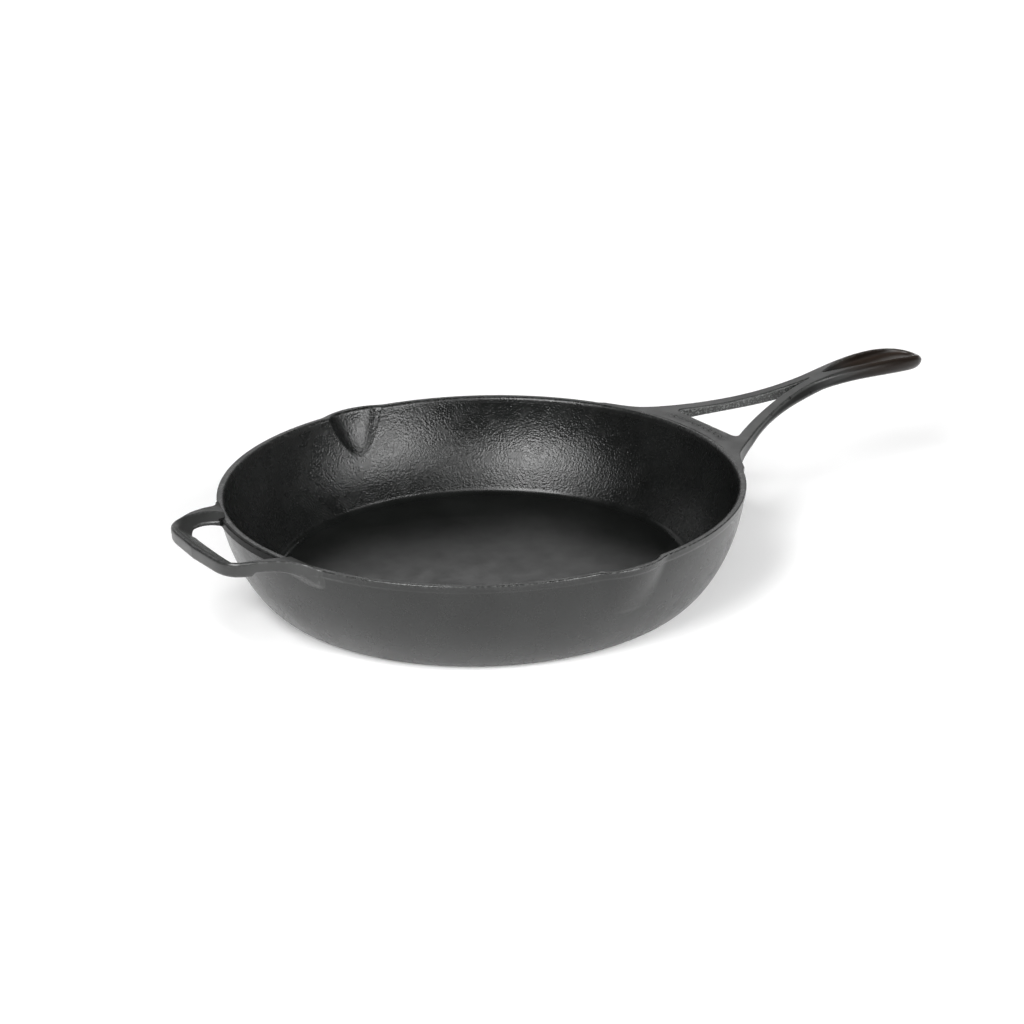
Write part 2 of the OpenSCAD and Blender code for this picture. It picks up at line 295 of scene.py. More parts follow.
def grid_piece(name, mask, nodes):
    """The part of the pan's two grids inside mask, over (angle cell, row cell), closed all round."""
    n = len(ANGLES)
    used = {}
    points, normals, wear_and_highlight, pebble = [], [], [], []

    def vertex(i, k, side):
        i %= n
        # both sides meet in the last row
        if k == N_ROWS - 1:
            side = 0
        key = (i, k, side)
        if key not in used:
            used[key] = len(points)
            points.append(OUTER[i, k] if side == 0 else INNER[i, k])
            normals.append(OUTER_N[i, k] if side == 0 else INNER_N[i, k])
            wear_and_highlight.append(EDGE_WEAR_AND_HIGHLIGHT[k] if side == 0 else EDGE_WEAR_AND_HIGHLIGHT_IN[k])
            pebble.append(0.0 if side == 0 else PEBBLE[k])
        return used[key]

    faces = []
    for i, k in zip(*np.nonzero(mask)):
        faces.append([vertex(i, k, 0), vertex(i + 1, k, 0), vertex(i + 1, k + 1, 0), vertex(i, k + 1, 0)])
        faces.append([vertex(i, k, 1), vertex(i, k + 1, 1), vertex(i + 1, k + 1, 1), vertex(i + 1, k, 1)])
        if k == 0 or not mask[i, k - 1]:
            faces.append([vertex(i, k, 1), vertex(i + 1, k, 1), vertex(i + 1, k, 0), vertex(i, k, 0)])
        if k + 1 < N_ROWS - 1 and not mask[i, k + 1]:
            faces.append([vertex(i, k + 1, 0), vertex(i + 1, k + 1, 0), vertex(i + 1, k + 1, 1), vertex(i, k + 1, 1)])
        if not mask[(i - 1) % n, k]:
            faces.append([vertex(i, k, 0), vertex(i, k + 1, 0), vertex(i, k + 1, 1), vertex(i, k, 1)])
        if not mask[(i + 1) % n, k]:
            faces.append([vertex(i + 1, k, 1), vertex(i + 1, k + 1, 1), vertex(i + 1, k + 1, 0), vertex(i + 1, k, 0)])
    clean = []
    for f in faces:
        f = [v for j, v in enumerate(f) if v != f[j - 1]]
        if len(f) > 2:
            clean.append(f)
    return make_piece(name, points, clean, normals, nodes, {"edge_wear": wear_and_highlight, "pebble": pebble})


# rounded rows of the rim, lighter in colour: partly where handling has rubbed the seasoning thin, partly a painted
# highlight along the rounding
EDGE_WEAR_AND_HIGHLIGHT = np.zeros(N_ROWS)
EDGE_WEAR_AND_HIGHLIGHT_IN = np.zeros(N_ROWS)
WEAR_AND_HIGHLIGHT_AT = [0, ROUND_STEPS // 2, ROUND_STEPS, TOP_ROWS - 1]
EDGE_WEAR_AND_HIGHLIGHT[-TOP_ROWS:] = np.interp(np.arange(TOP_ROWS), WEAR_AND_HIGHLIGHT_AT, [0.2, 1.0, 0.35, 0.2])
EDGE_WEAR_AND_HIGHLIGHT_IN[-TOP_ROWS:] = np.interp(np.arange(TOP_ROWS), WEAR_AND_HIGHLIGHT_AT, [0.0, 0.45, 0.3, 0.2])
# how pebbled the inner side is: smooth in the heel and on the rim's rounding, rough cast between them
PEBBLE = np.concatenate([
    smooth_step(INNER[0, :LOW_ROWS, 2], 6.2, 7.6),
    np.ones(len(WALL_Z)),
    np.linspace(0.9, 0.0, TOP_ROWS),
])


def floor_piece():
    """Cooking floor and flat base, out to the heel."""
    radii = np.concatenate([np.linspace(0, 0.97, 24), [0.985, 1.0]]) * HEEL_R
    n = len(ANGLES)
    ring = np.stack([np.cos(ANGLES), np.sin(ANGLES)], 1)
    points, normals, faces = [], [], []
    for z, up in ((0.0, -1.0), (FLOOR_T, 1.0)):
        points.append([0, 0, z])
        normals.append([0, 0, up])
        for r in radii[1:]:
            points.extend(np.column_stack([ring * r, np.full(n, z)]).tolist())
            normals.extend([[0, 0, up]] * n)
    side = 1 + n * (len(radii) - 1)

    def at(s, k, i):
        return s * side + (0 if k == 0 else 1 + (k - 1) * n + i % n)

    for i in range(n):
        faces.append([at(1, 0, i), at(1, 1, i), at(1, 1, i + 1)])
        faces.append([at(0, 0, i), at(0, 1, i + 1), at(0, 1, i)])
        for k in range(1, len(radii) - 1):
            faces.append([at(1, k, i), at(1, k + 1, i), at(1, k + 1, i + 1), at(1, k, i + 1)])
            faces.append([at(0, k, i), at(0, k, i + 1), at(0, k + 1, i + 1), at(0, k + 1, i)])
        k = len(radii) - 1
        faces.append([at(0, k, i), at(0, k, i + 1), at(1, k, i + 1), at(1, k, i)])
    return make_piece("pan_floor_iron", points, faces, normals, ["pan_floor"],
                      {"edge_wear": np.zeros(len(points))})


# ---------------------------------------------------------------- distance fields of the handles
def spline_weights(t):
    """Weights of the four grid values round a place that is t of the way between the middle two."""
    return (
        (1 - t) ** 3 / 6,
        (3 * t**3 - 6 * t**2 + 4) / 6,
        (-3 * t**3 + 3 * t**2 + 3 * t + 1) / 6,
        t**3 / 6,
    )


class PlanField:
    """Signed distance to a closed outline in the XY plane, smoothed by a cubic B-spline over a fine grid."""

    def __init__(self, half, step=0.5, margin=12.0):
        """half is the outline's points at y of 0 and more, from its low end to its high end."""
        outline = np.concatenate([half, half[::-1] * [1, -1]])
        keep = np.concatenate([[True], np.linalg.norm(np.diff(outline, axis=0), axis=1) > 1e-6])
        outline = outline[keep]
        self.step = step
        self.low = outline.min(0) - margin
        size = np.ceil((outline.max(0) + margin - self.low) / step).astype(int) + 4
        self.low -= step * 1.5
        x = self.low[0] + step * np.arange(size[0])
        y = self.low[1] + step * np.arange(size[1])
        gx, gy = np.meshgrid(x, y, indexing="ij")
        p = np.stack([gx.ravel(), gy.ravel()], 1)
        best = np.full(len(p), 1e9)
        inside = np.zeros(len(p), bool)
        for p0, p1 in zip(outline, np.roll(outline, -1, 0)):
            d = p1 - p0
            length2 = d @ d
            if length2 < 1e-12:
                continue
            t = np.clip(((p - p0) @ d) / length2, 0, 1)
            near = p - p0 - t[:, None] * d
            best = np.minimum(best, (near * near).sum(1))
            if p0[1] != p1[1]:
                cross = (p0[1] > p[:, 1]) != (p1[1] > p[:, 1])
                at = p0[0] + (p[:, 1] - p0[1]) / (p1[1] - p0[1]) * d[0]
                inside ^= cross & (p[:, 0] < at)
        self.values = (np.where(inside, -1, 1) * np.sqrt(best)).reshape(gx.shape)

    def __call__(self, x, y):
        x, y = np.broadcast_arrays(np.asarray(x, float), np.asarray(y, float))
        u = np.clip((x - self.low[0]) / self.step, 1, self.values.shape[0] - 3.001)
        v = np.clip((y - self.low[1]) / self.step, 1, self.values.shape[1] - 3.001)
        i, j = np.floor(u).astype(int), np.floor(v).astype(int)
        fu, fv = u - i, v - j
        wu, wv = spline_weights(fu), spline_weights(fv)
        total = 0.0
        for a in range(4):
            for b in range(4):
                total = total + wu[a] * wv[b] * self.values[i + a - 1, j + b - 1]
        return total


def line(points):
    """The height along X of a chain of points, as a function. Points run up or down in X."""
    points = np.asarray(points)
    order = np.argsort(points[:, 0], kind="stable")
    xs, zs = points[order, 0], points[order, 1]
    return lambda x: np.interp(x, xs, zs)


# outline of the long handle from above, and of the gap between its arms
HANDLE_EDGE = chain(
    (120, 0), [(120, 68.2)], [(136.8, 69.2)],
    [(143.7, 57.3), (151.6, 50.3), (158, 45.5)],
    [(185.5, 25.4), (216, 8.6), (244, 7.6)],
    [(262, 7.6), (282, 13.4), (309.5, 13.4)],
    [(324.5, 13.4), (336.5, 10), (336.5, 0)],
)
GAP_EDGE = chain(
    (164, 0), [(164, 24)],
    [(164, 28.5), (165.2, 30.2), (167.4, 28.8)],
    [(188, 15.4), (214, 3.0), (245, 0)],
)
HANDLE_PLAN = PlanField(HANDLE_EDGE)
GAP_PLAN = PlanField(GAP_EDGE)
HANDLE_TOP = line(chain(
    (100, 60), [(146, 60)],
    [(200, 61.6), (250, 80), (298, 79.4)],
    [(313, 79.5), (332, 77.2), (339, 70)],
))
HANDLE_UNDER = line(chain(
    (345, 68.4), [(336.5, 66.4)],
    [(333, 64.8), (326, 64.6), (314.5, 65.2)],
    [(290, 66.2), (268, 68.6), (250, 66.9)],
    [(202, 58.9), (166, 59.6), (150, 45.5)],
    [(140, 36)],
))
# the spoon-shaped recess in the grip
RECESS_EDGE = chain(
    (257, 0),
    [(274, 7.2), (292, 10.2), (313, 10.2)],
    [(324, 10.2), (330, 5.4), (330, 0)],
)
RECESS_PLAN = PlanField(RECESS_EDGE)

# outline of the helper loop from above, and of its hole
LOOP_EDGE = chain(
    (-187.2, 0), [(-186, 22)],
    [(-185.5, 30), (-183.5, 35.5), (-178, 39)],
    [(-172, 42.5), (-165, 44.6), (-157, 47.8)],
    [(-150, 50.5), (-145, 53.5), (-141.5, 60)],
    [(-130, 60)], [(-120, 0)],
)
HOLE_EDGE = chain(
    (-174.3, 0),
    [(-174.3, 19), (-174.2, 29), (-170.8, 32.4)],
    [(-166, 36.2), (-157, 36.8), (-150, 35.4)],
    [(-140, 28)], [(-140, 0)],
)
# upper edge of the dish that leads down to the hole
DISH_EDGE = chain(
    (-184, 0),
    [(-184, 14), (-183.8, 24), (-181.6, 30)],
    [(-179.6, 35.4), (-172, 38.4), (-163, 40.4)],
    [(-158, 41.6), (-152, 42.6), (-147, 42)],
    [(-136, 41)], [(-136, 0)],
)
LOOP_PLAN = PlanField(LOOP_EDGE)
HOLE_PLAN = PlanField(HOLE_EDGE)
DISH_PLAN = PlanField(DISH_EDGE)
# height of the dish's upper edge, and how steeply it falls at the bar, where it is rough cast
DISH_TOP_Z = 64.9
BAR_STEEP = 0.62
LOOP_TOP = line(chain(
    (-120, 60), [(-140, 60)],
    [(-146, 61.3), (-152, 65.3), (-168, 65.3)],
    [(-190, 65.3)],
))
LOOP_UNDER = line(chain(
    (-195, 56.6), [(-172.4, 56.6)],
    [(-170.8, 56.6), (-171, 58.7), (-169, 58.7)],
    [(-161, 58.7), (-151, 57.4), (-143, 51)],
    [(-130, 50)],
))


# strip of rim behind the hole
STRIP_R = 155.2
STRIP_HALF_WIDTH = 43
STRIP_LOW_Z = 55.2
STRIP_TOP_Z = PAN_H - 0.1


def wall_field(x, y, z):
    """Field of everything inside the outer wall of the pan, open at the top."""
    r = np.hypot(x, y)
    inside = outer_wall(np.arctan2(y, x), np.clip(z, 0.0, PAN_H))
    low = np.interp(z, OUTER_SIDE[:, 1], OUTER_SIDE[:, 0])
    slope = np.interp(z + 1.0, OUTER_SIDE[:, 1], OUTER_SIDE[:, 0]) - low
    return (r - inside) / np.sqrt(1 + np.minimum(slope, 3.0) ** 2)


def handle_field(x, y, z, sink=0.0):
    """Long handle, its fillet into the wall and the gap between its arms.

    sink moves the wall's part of it inwards, so that it doesn't lie on the pan's own surface.
    """
    away = np.abs(y)
    lean = 0.26 * smooth_step(x, 156, 176) * (1 - smooth_step(x, 296, 330))
    side = HANDLE_PLAN(x, y) - lean * np.clip(HANDLE_TOP(x) - z, 0, 12)
    # the grip's sides are rounded from crown to keel, the arms' less so
    grip = smooth_step(x, 232, 285)
    under = HANDLE_UNDER(x) + grip * (away**2) / 46.0
    top = HANDLE_TOP(x) + sink - grip * (away**2) / 120.0 - 0.25 * smooth_step(x, 170, 210)
    bottom = (under - z) / np.sqrt(1 + 0.09)
    edge_low = 2.2 + 2.3 * grip
    body = round_and(side, bottom, edge_low)
    body = round_cut(body, GAP_PLAN(x, y), 1.0)
    both = round_or(wall_field(x, y, z) + sink, body, 7.0)
    solid = round_and(both, z - top, 0.9 + 1.5 * grip)
    # recess: a shallow spoon with soft edges
    floor_z = 72.4 + 0.0006 * (x - 300) ** 2 + away**2 / 70
    dish = round_and(RECESS_PLAN(x, y), floor_z - z, 2.0)
    return round_cut(solid, dish, 1.3)


def loop_field(x, y, z, sink=0.0):
    """Helper loop with its fillets into the wall, its hole and the slope along its bar."""
    away = np.abs(y)
    side = LOOP_PLAN(x, y) + 0.06 * np.maximum(62 - z, 0) * smooth_step(-x, 168, 176)
    bottom = (LOOP_UNDER(x) - z) / np.sqrt(1 + 0.06)
    wall = wall_field(x, y, z) + sink
    both = round_or(wall, round_and(side, bottom, 1.8), 3.0)
    open_body = round_cut(both, HOLE_PLAN(x, y), 0.6)
    # the dish slopes gently down from the bar's crest and more steeply from the arms
    steep = BAR_STEEP + 0.36 * smooth_step(away, 20, 33)
    dish = (DISH_TOP_Z + steep * DISH_PLAN(x, y) - z) / np.sqrt(1 + steep**2)
    open_body = round_cut(open_body, dish, 0.6)
    # hole and dish are cut from the loop, but not from the wall and the strip of rim behind it
    strip = round_and(np.hypot(x, y) - STRIP_R, STRIP_LOW_Z - z, 0.5)
    strip = round_and(strip, z - STRIP_TOP_Z, 0.4)
    strip = round_and(strip, away - STRIP_HALF_WIDTH, 0.5)
    strip = np.maximum(strip, x + 120)
    open_body = np.minimum(open_body, np.maximum(wall, z - STRIP_TOP_Z))
    open_body = np.minimum(open_body, strip)
    upper = z - LOOP_TOP(x) - sink
    return round_and(open_body, upper, 0.7 + 1.3 * smooth_step(-x, 166, 176))


def surface_net(field, low, high, step):
    """Closed quads on the zero surface of field in a box, one vertex in each cell that the surface crosses."""
    axes = [np.arange(a, b + step, step) for a, b in zip(low, high)]
    x, y, z = axes[0][:, None, None], axes[1][None, :, None], axes[2][None, None, :]
    f = field(x, y, z)
    f = np.broadcast_to(f, tuple(len(a) for a in axes))
    inside = f < 0
    nx, ny, nz = f.shape
    corners = [inside[a:nx - 1 + a, b:ny - 1 + b, c:nz - 1 + c] for a in (0, 1) for b in (0, 1) for c in (0, 1)]
    count = sum(c.astype(np.int8) for c in corners)
    active = (count > 0) & (count < 8)
    index = np.full(active.shape, -1)
    cells = np.argwhere(active)
    index[active] = np.arange(len(cells))
    # start at the mean of the crossings on the twelve edges of each cell
    total = np.zeros((len(cells), 3))
    found = np.zeros(len(cells))
    corner_steps = [(a, b, c) for a in (0, 1) for b in (0, 1) for c in (0, 1)]
    values = np.stack([f[cells[:, 0] + a, cells[:, 1] + b, cells[:, 2] + c] for a, b, c in corner_steps], 1)
    for p in range(8):
        for q in range(p + 1, 8):
            d = np.array(corner_steps[q]) - np.array(corner_steps[p])
            if np.abs(d).sum() != 1:
                continue
            a, b = values[:, p], values[:, q]
            hit = (a < 0) != (b < 0)
            t = np.where(hit, a / np.where(hit, a - b, 1), 0)
            total += np.where(hit[:, None], np.array(corner_steps[p]) + t[:, None] * d, 0)
            found += hit
    points = np.array([axes[0][0], axes[1][0], axes[2][0]]) + step * (cells + total / found[:, None])
    faces = []
    for axis in range(3):
        other = [k for k in range(3) if k != axis]
        a = np.take(inside, np.arange(inside.shape[axis] - 1), axis)
        b = np.take(inside, np.arange(1, inside.shape[axis]), axis)
        edges = np.argwhere(a != b)
        good = (edges[:, other[0]] > 0) & (edges[:, other[1]] > 0)
        for k in other:
            good &= edges[:, k] < inside.shape[k] - 1
        edges = edges[good]
        ring = []
        for du, dv in ((0, 0), (-1, 0), (-1, -1), (0, -1)):
            cell = edges.copy()
            cell[:, other[0]] += du
            cell[:, other[1]] += dv
            ring.append(index[tuple(cell.T)])
        faces.append(np.stack(ring, 1))
    return points, np.concatenate(faces)


def gradient(field, p, d=0.04):
    """Direction and rate in which field grows at each point."""
    g = np.empty_like(p)
    for k in range(3):
        a, b = p.copy(), p.copy()
        a[:, k] += d
        b[:, k] -= d
        g[:, k] = (field(a[:, 0], a[:, 1], a[:, 2]) - field(b[:, 0], b[:, 1], b[:, 2])) / (2 * d)
    return g


def settle(field, p, rounds=3, limit=0.5):
    """Moves points on to the zero surface of field."""
    start = p.copy()
    for _ in range(rounds):
        g = gradient(field, p)
        f = field(p[:, 0], p[:, 1], p[:, 2])
        p = p - (f / np.maximum((g * g).sum(1), 0.05))[:, None] * g
        p = start + np.clip(p - start, -limit, limit)
    return p


def outward(field, p, faces):
    """The same faces, each turned so that it looks out of the solid."""
    middle = p[faces].mean(1)
    normal = np.cross(p[faces[:, 2]] - p[faces[:, 0]], p[faces[:, 3]] - p[faces[:, 1]])
    wrong = (normal * gradient(field, middle)).sum(1) < 0
    faces = faces.copy()
    faces[wrong] = faces[wrong][:, ::-1]
    return faces


def curvature(field, p, d=0.5):
    """How sharply the surface of field turns at each point: above 0 on an outward edge."""
    total = -6 * field(p[:, 0], p[:, 1], p[:, 2])
    for k in range(3):
        for s in (d, -d):
            a = p.copy()
            a[:, k] += s
            total += field(a[:, 0], a[:, 1], a[:, 2])
    return total / d**2


def cut_box(points, faces, planes):
    """The part of a closed mesh on the inner side of each plane (point, outward direction), capped where it is cut."""
    bm = bmesh.new()
    mesh = bpy.data.meshes.new("cut")
    mesh.from_pydata(points.tolist(), [], faces.tolist())
    bm.from_mesh(mesh)
    bpy.data.meshes.remove(mesh)
    for where, out in planes:
        geometry = bm.verts[:] + bm.edges[:] + bm.faces[:]
        bmesh.ops.bisect_plane(bm, geom=geometry, dist=1e-5, plane_co=where, plane_no=out, clear_outer=True)
        open_edges = [e for e in bm.edges if e.is_boundary]
        if open_edges:
            bmesh.ops.holes_fill(bm, edges=open_edges, sides=0)
    bmesh.ops.delete(bm, geom=[v for v in bm.verts if not v.link_faces], context="VERTS")
    bm.verts.ensure_lookup_table()
    bm.verts.index_update()
    p = np.array([v.co[:] for v in bm.verts])
    bm.normal_update()
    n = np.array([v.normal[:] for v in bm.verts])
    f = [[v.index for v in face.verts] for face in bm.faces]
    bm.free()
    return p, f, n


# circle on which the row of pips stands
PIPS_R = 159


def gap_rough(p):
    """How rough the long handle is: as cast in the gap between its arms and round the row of pips."""
    x, y, z = p.T
    in_gap = smooth_step(-np.abs(GAP_PLAN(x, y)), -1.6, -0.7) * smooth_step(HANDLE_TOP(x) - z, 0.4, 1.2)
    band = smooth_step(3.4 - np.abs(np.hypot(x, y) - PIPS_R), 0, 1.2) * (z > PAN_H - 1)
    band = band * smooth_step(12 - np.degrees(np.abs(np.arctan2(y, x))), 0, 2)
    return np.maximum(in_gap, 0.45 * band)


def loop_rough(p):
    """How rough the helper loop is: as cast on the slope of its bar and on the strip behind its hole."""
    x, y, z = p.T
    dish = DISH_PLAN(x, y)
    on_slope = (dish < -0.3) & (np.abs(DISH_TOP_Z + BAR_STEEP * dish - z) < 0.9)
    slope = on_slope & (x < -172.8) & (np.abs(y) < 28)
    strip = (np.hypot(x, y) < STRIP_R + 1) & (np.abs(y) < STRIP_HALF_WIDTH - 1) & (z < STRIP_TOP_Z) & (z > 54)
    return np.where(slope, 1.5, np.where(strip, 0.15, 0.0))


def side_painted_shade(p):
    """How much painted shade and dullness the long handle gets: most on its outer sides, between the top and the lower
    edge.
    """
    x, y, z = p.T
    down = HANDLE_TOP(x) - z
    thick = HANDLE_TOP(x) - HANDLE_UNDER(x)
    outer = smooth_step(-np.abs(HANDLE_PLAN(x, y)), -4.5, -3.4) * smooth_step(np.abs(GAP_PLAN(x, y)), 2.0, 2.6)
    band = smooth_step(down, 1.0, 2.4) * smooth_step(thick - down, 1.6, 3.0)
    return 0.8 * outer * band * smooth_step(x, 164, 184)


def strip_painted_shade(p):
    """How much painted shade and dullness the helper loop gets: only on the strip of rim behind its hole."""
    x, y, z = p.T
    strip = (np.hypot(x, y) < STRIP_R + 1.2) & (np.abs(y) < STRIP_HALF_WIDTH) & (z < PAN_H + 0.2) & (z > 53) & (x < 0)
    return np.where(strip, 1.0, 0.0)


def field_piece(node, mesh, field, rough, matte, planes):
    """One region of a handle's surface, cut out by planes, with normals taken from the field itself."""
    p, faces, normals = cut_box(*mesh, planes)
    on = np.abs(field(p[:, 0], p[:, 1], p[:, 2])) < 0.08
    g = gradient(field, p[on])
    normals[on] = g / np.maximum(np.linalg.norm(g, axis=1, keepdims=True), 1e-9)
    # rounded outward edges lighter in colour: partly seasoning rubbed thin, partly a painted highlight
    wear_and_highlight = np.zeros(len(p))
    wear_and_highlight[on] = np.clip((curvature(field, p[on]) - 0.25) / 1.2, 0, 1)
    attributes = {"edge_wear": wear_and_highlight, "rough": rough(p), "matte": matte(p)}
    return make_piece(node + "_iron", p, faces, normals, [node], attributes)


# the skin of wall behind each handle's root is SKIN thick, and lies SINK inside the pan's own surface
SINK = 0.012
SKIN = 1.6


def handle_solid(x, y, z):
    """Long handle with a thin skin of the wall behind its root, which is where it is cut off."""
    near = np.maximum(np.maximum(np.abs(y) - 78, 128 - x), 34 - z)
    skin = np.maximum(-(wall_field(x, y, z) + SKIN), near)
    return np.maximum(handle_field(x, y, z, SINK), skin)


def loop_solid(x, y, z):
    """Helper loop with a thin skin of the wall behind its root."""
    near = np.maximum(np.maximum(np.abs(y) - 74, x + 122), 34 - z)
    skin = np.maximum(-(wall_field(x, y, z) + SKIN), near)
    return np.maximum(loop_field(x, y, z, SINK), skin)


def plane(axis, value, sign):
    """A cutting plane across an axis, as a point on it and the direction of the side that goes."""
    where, out = [0.0, 0.0, 0.0], [0.0, 0.0, 0.0]
    where[axis], out[axis] = value, float(sign)
    return where, out


STEP = 0.6

pieces = []
cell_middle = ANGLES + 0.5 * (np.roll(ANGLES, -1) - ANGLES) % (2 * math.pi)
in_spout = np.abs(from_spout(cell_middle)) < SPOUT_HALF_ANGLE
plus_side = np.sin(cell_middle) > 0
row = np.arange(N_ROWS - 1)
mask = (row[None, :] < CUT_ROW) | (~in_spout[:, None] & (row[None, :] < LIP_ROW))
pieces.append(floor_piece())
pieces.append(grid_piece("pan_wall_iron", mask, ["pan_wall"]))
mask = ~in_spout[:, None] & (row[None, :] >= LIP_ROW)
pieces.append(grid_piece("rim_lip_iron", mask, ["rim_lip"]))
for side_name, chosen in (("left", plus_side), ("right", ~plus_side)):
    mask = (in_spout & chosen)[:, None] & (row[None, :] >= CUT_ROW)
    pieces.append(grid_piece(f"pour_spout_{side_name}_iron", mask, [f"pour_spout_{side_name}"]))

points, faces = surface_net(handle_solid, (126, -80, 32), (339, 80, 84), STEP)
points = settle(handle_solid, points)
handle_mesh = (points, outward(handle_solid, points, faces))
ARM_X, NECK_X, GRIP_X = 167.0, 232.0, 256.0
for name, planes in (
    ("handle_yoke", [plane(0, ARM_X, 1)]),
    ("handle_arm_left", [plane(0, ARM_X, -1), plane(0, NECK_X, 1), plane(1, 0, -1)]),
    ("handle_arm_right", [plane(0, ARM_X, -1), plane(0, NECK_X, 1), plane(1, 0, 1)]),
    ("handle_neck", [plane(0, NECK_X, -1), plane(0, GRIP_X, 1)]),
    ("handle_grip", [plane(0, GRIP_X, -1)]),
):
    pieces.append(field_piece(name, handle_mesh, handle_field, gap_rough, side_painted_shade, planes))

points, faces = surface_net(loop_solid, (-190, -76, 32), (-118, 76, 68), STEP)
points = settle(loop_solid, points)
loop_mesh = (points, outward(loop_solid, points, faces))
BAR_X, ARM_Y = -168.0, 30
for name, planes in (
    ("helper_bar", [plane(0, BAR_X, 1)]),
    ("helper_arm_left", [plane(0, BAR_X, -1), plane(1, ARM_Y, -1)]),
    ("helper_arm_right", [plane(0, BAR_X, -1), plane(1, -ARM_Y, 1)]),
    ("helper_strip", [plane(0, BAR_X, -1), plane(1, ARM_Y, 1), plane(1, -ARM_Y, -1)]),
):
    pieces.append(field_piece(name, loop_mesh, loop_field, loop_rough, strip_painted_shade, planes))


def pips_piece():
    """Row of low round pips along the yoke."""
    points, faces, normals = [], [], []
    rings, sides = 5, 20
    count, radius, height, sunk = 9, 1.2, 0.5, 0.6
    for i in range(count):
        turn = math.radians((i - count // 2) * 2)
        cx, cy = PIPS_R * math.cos(turn), PIPS_R * math.sin(turn)
        z0 = float(HANDLE_TOP(cx))
        start = len(points)
        points.append([cx, cy, z0 + height])
        normals.append([0, 0, 1])
        for k in range(1, rings + 2):
            if k <= rings:
                a = math.pi / 2 * k / rings
                r, z, nz = radius * math.sin(a) ** 0.8, z0 + height * math.cos(a), math.cos(a)
            else:
                r, z, nz = radius, z0 - sunk, 0.0
            for j in range(sides):
                b = 2 * math.pi * j / sides
                points.append([cx + r * math.cos(b), cy + r * math.sin(b), z])
                normals.append([math.cos(b) * math.sqrt(1 - nz * nz), math.sin(b) * math.sqrt(1 - nz * nz), nz])
        for j in range(sides):
            after = (j + 1) % sides
            faces.append([start, start + 1 + j, start + 1 + after])
            for k in range(rings):
                a, b = start + 1 + k * sides, start + 1 + (k + 1) * sides
                faces.append([a + j, b + j, b + after, a + after])
        faces.append([start + 1 + rings * sides + j for j in range(sides - 1, -1, -1)])
    return make_piece("yoke_pips_iron", points, faces, normals, ["yoke_pips"],
                      {"edge_wear": np.full(len(points), 0.4)})


pieces.append(pips_piece())


# ---------------------------------------------------------------- iron
# depths of the bump in metres: fine grain, pebbles of the inner wall, and rough cast patches
GRAIN_DEPTH, PEBBLE_DEPTH, CAST_DEPTH = 0.00003, 0.00036, 0.00045
# colours of the lighter edges (seasoning rubbed thin, and painted highlight) and of the rough cast specks
WORN_AND_HIGHLIGHT = (0.13, 0.132, 0.13)
CAST = (0.105, 0.108, 0.105)
GLOSS_SPREAD = 0.05


